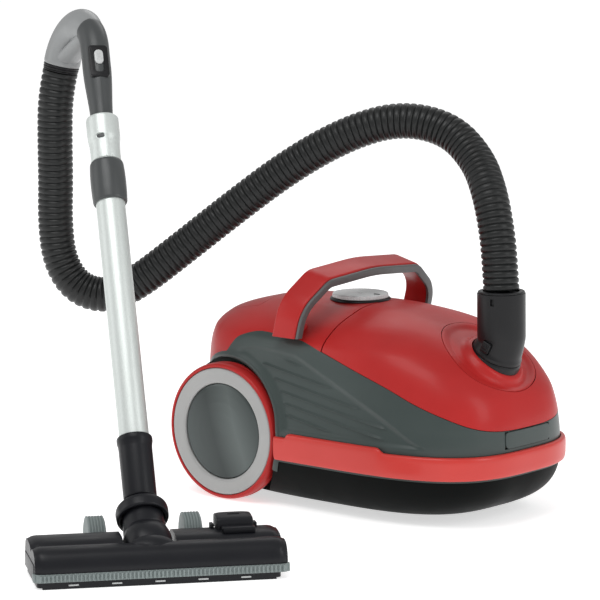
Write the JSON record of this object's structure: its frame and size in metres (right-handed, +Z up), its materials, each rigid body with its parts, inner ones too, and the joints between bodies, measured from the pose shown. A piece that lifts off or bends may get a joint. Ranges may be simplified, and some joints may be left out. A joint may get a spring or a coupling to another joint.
{
  "type": "canister vacuum cleaner",
  "caption": "Canister vacuum cleaner with a red domed body on two large rear wheels and a front caster, a corrugated hose, and a telescopic wand that stands on its floor nozzle.",
  "frame": {"origin": "on the floor, under the middle of the bounding box of everything except the free hose", "axes": "+Z up from the floor, +X the way the canister drives, towards its hose inlet, +Y to the canister's left"},
  "size_m": [0.6103, 0.7846, 0.6102],
  "materials": {
    "body_red": "gloss",
    "bumper_red": "satin",
    "shell_grey": "satin",
    "chassis_black": "satin",
    "trim_black": "satin",
    "wheel_silver": "satin",
    "wheel_hub": "gloss",
    "handle_grey": "satin",
    "dial_silver": "gloss",
    "hose_black": "satin",
    "tube_satin": "satin",
    "stem_grey": "satin",
    "bend_grey": "satin",
    "button_grey": "satin",
    "nozzle_black": "satin",
    "nozzle_grey": "matte",
    "steel": "satin",
    "rubber": "matte",
    "paper": "matte",
    "board": "satin",
    "copper_motor": "satin",
    "foam": "matte",
    "bristle": "matte"
  },
  "bodies": {
    "chassis": {"chassis_base": "chassis_black", "side_shell": "shell_grey", "bumper_band": "bumper_red", "rear_cover": "body_red", "exhaust_grille": "trim_black", "dial_bezel": "trim_black", "cord_outlet": "rubber", "wheel_axles": "steel", "hinge_pins": "steel", "bag_holder": "nozzle_grey", "dust_bag": "paper", "motor_filter": "foam", "suction_motor": "copper_motor", "motor_mounts": "rubber", "control_board": "board", "chassis_screws": "steel", "hose_canister_half": "hose_black", "hose_wand_half": "hose_black", "lower_tube": "tube_satin", "neck_socket": "nozzle_black"},
    "lid": {"bag_lid": "body_red", "inlet_collar": "trim_black", "inlet_seal": "rubber", "hose_elbow": "trim_black"},
    "elbow_clip": {"elbow_clip": "trim_black"},
    "hose_cuff_elbow": {"hose_cuff_elbow": "trim_black"},
    "latch": {"lid_latch": "shell_grey"},
    "carry_handle": {"handle_band": "body_red", "handle_grip": "handle_grey"},
    "dial": {"power_dial": "dial_silver"},
    "on_off": {"on_off_pedal": "body_red"},
    "rewind": {"rewind_pedal": "body_red"},
    "reel": {"cord_reel": "trim_black"},
    "wheel_left": {"wheel_rim_left": "body_red", "wheel_ring_left": "wheel_silver", "wheel_cap_left": "wheel_hub"},
    "wheel_right": {"wheel_rim_right": "body_red", "wheel_ring_right": "wheel_silver", "wheel_cap_right": "wheel_hub"},
    "caster": {"caster_fork": "trim_black", "caster_axle": "steel"},
    "caster_roller": {"caster_wheel": "rubber"},
    "collar": {"telescope_collar": "stem_grey"},
    "handle": {"upper_tube": "tube_satin", "tube_sleeve": "tube_satin", "handle_stem": "stem_grey", "handle_bend": "bend_grey", "bleed_panel": "trim_black"},
    "bleed": {"bleed_slider": "button_grey"},
    "hose_cuff_handle": {"hose_cuff_handle": "bend_grey"},
    "nozzle_neck": {"nozzle_joint": "nozzle_black", "swivel_ring": "nozzle_black"},
    "nozzle": {"nozzle_body": "nozzle_black", "nozzle_sole": "nozzle_black", "nozzle_strip": "nozzle_grey", "nozzle_pins": "steel"},
    "nozzle_wheel_left": {"nozzle_wheel_left": "nozzle_grey"},
    "nozzle_wheel_right": {"nozzle_wheel_right": "nozzle_grey"},
    "pedal": {"nozzle_pedal": "nozzle_black"},
    "brush": {"brush_strip": "bristle"}
  },
  "joints": [
    {"name": "lid_hinge", "type": "hinge", "parent": "chassis", "child": "lid", "pos_m": [0.07, 0.243, 0.2432], "axis": [0, -1, 0], "range_deg": [0, 55], "deforming": ["hose_canister_half"]},
    {"name": "elbow_clip_press", "type": "slide", "parent": "lid", "child": "elbow_clip", "axis": [0, 1, 0], "range_m": [0, 0.002], "stiffness_N_per_m": 2000},
    {"name": "hose_cuff_turn", "type": "hinge", "parent": "lid", "child": "hose_cuff_elbow", "pos_m": [0.25, 0.243, 0.277], "axis": [-0.0167, 0, 0.9999], "continuous": true},
    {"name": "latch_press", "type": "slide", "parent": "chassis", "child": "latch", "axis": [-1, 0, 0], "range_m": [0, 0.004], "stiffness_N_per_m": 1500},
    {"name": "carry_handle_fold", "type": "hinge", "parent": "chassis", "child": "carry_handle", "pos_m": [0.0195, 0.243, 0.222], "axis": [0, -1, 0], "range_deg": [0, 35]},
    {"name": "power_dial_turn", "type": "hinge", "parent": "chassis", "child": "dial", "pos_m": [0.031, 0.243, 0.2475], "axis": [0, 0, 1], "range_deg": [-135, 135]},
    {"name": "on_off_press", "type": "slide", "parent": "chassis", "child": "on_off", "axis": [0, 0, -1], "range_m": [0, 0.004], "stiffness_N_per_m": 1500},
    {"name": "rewind_press", "type": "slide", "parent": "chassis", "child": "rewind", "axis": [0, 0, -1], "range_m": [0, 0.004], "stiffness_N_per_m": 1500},
    {"name": "cord_reel_turn", "type": "hinge", "parent": "chassis", "child": "reel", "pos_m": [-0.078, 0.165, 0.118], "axis": [0, 1, 0], "continuous": true},
    {"name": "wheel_left_roll", "type": "hinge", "parent": "chassis", "child": "wheel_left", "pos_m": [-0.079, 0.369, 0.086], "axis": [0, 1, 0], "continuous": true},
    {"name": "wheel_right_roll", "type": "hinge", "parent": "chassis", "child": "wheel_right", "pos_m": [-0.079, 0.117, 0.086], "axis": [0, 1, 0], "continuous": true},
    {"name": "caster_swivel", "type": "hinge", "parent": "chassis", "child": "caster", "pos_m": [0.194, 0.243, 0.046], "axis": [0, 0, 1], "continuous": true},
    {"name": "caster_roll", "type": "hinge", "parent": "caster", "child": "caster_roller", "pos_m": [0.184, 0.243, 0.017], "axis": [0, 1, 0], "continuous": true},
    {"name": "telescope_lock", "type": "slide", "parent": "chassis", "child": "collar", "axis": [0.4382, -0.3473, -0.829], "range_m": [0, 0.007], "stiffness_N_per_m": 1200},
    {"name": "telescope_slide", "type": "slide", "parent": "chassis", "child": "handle", "axis": [-0.4382, 0.3473, 0.829], "range_m": [0, 0.22], "deforming": ["hose_wand_half"]},
    {"name": "bleed_valve_slide", "type": "slide", "parent": "handle", "child": "bleed", "axis": [0.4382, -0.3473, -0.829], "range_m": [0, 0.01]},
    {"name": "hose_swivel", "type": "hinge", "parent": "handle", "child": "hose_cuff_handle", "pos_m": [-0.2665, 0.02208, 0.54627], "axis": [-0.1849, -0.1069, -0.9769], "continuous": true},
    {"name": "nozzle_swivel", "type": "hinge", "parent": "chassis", "child": "nozzle_neck", "pos_m": [0.08554, -0.22213, 0.06253], "axis": [-0.6176, 0.4895, 0.6157], "range_deg": [-40, 40]},
    {"name": "nozzle_tilt", "type": "hinge", "parent": "nozzle_neck", "child": "nozzle", "pos_m": [0.11994, -0.24939, 0.028], "axis": [0.6211, 0.7837, 0], "range_deg": [-20, 20]},
    {"name": "nozzle_wheel_left_roll", "type": "hinge", "parent": "nozzle", "child": "nozzle_wheel_left", "pos_m": [0.03497, -0.24712, 0.027], "axis": [0.6211, 0.7837, 0], "continuous": true},
    {"name": "nozzle_wheel_right_roll", "type": "hinge", "parent": "nozzle", "child": "nozzle_wheel_right", "pos_m": [0.10454, -0.15935, 0.027], "axis": [0.6211, 0.7837, 0], "continuous": true},
    {"name": "nozzle_pedal_rock", "type": "hinge", "parent": "nozzle", "child": "pedal", "pos_m": [0.16762, -0.15703, 0.042], "axis": [0.6211, 0.7837, 0], "range_deg": [-5, 0]},
    {"name": "brush_lift", "type": "slide", "parent": "nozzle", "child": "brush", "axis": [0, 0, -1], "range_m": [0, 0.0027]}
  ],
  "couplings": [
    {"joint": "brush_lift", "follows": "nozzle_pedal_rock", "m_per_rad": -0.03094}
  ]
}
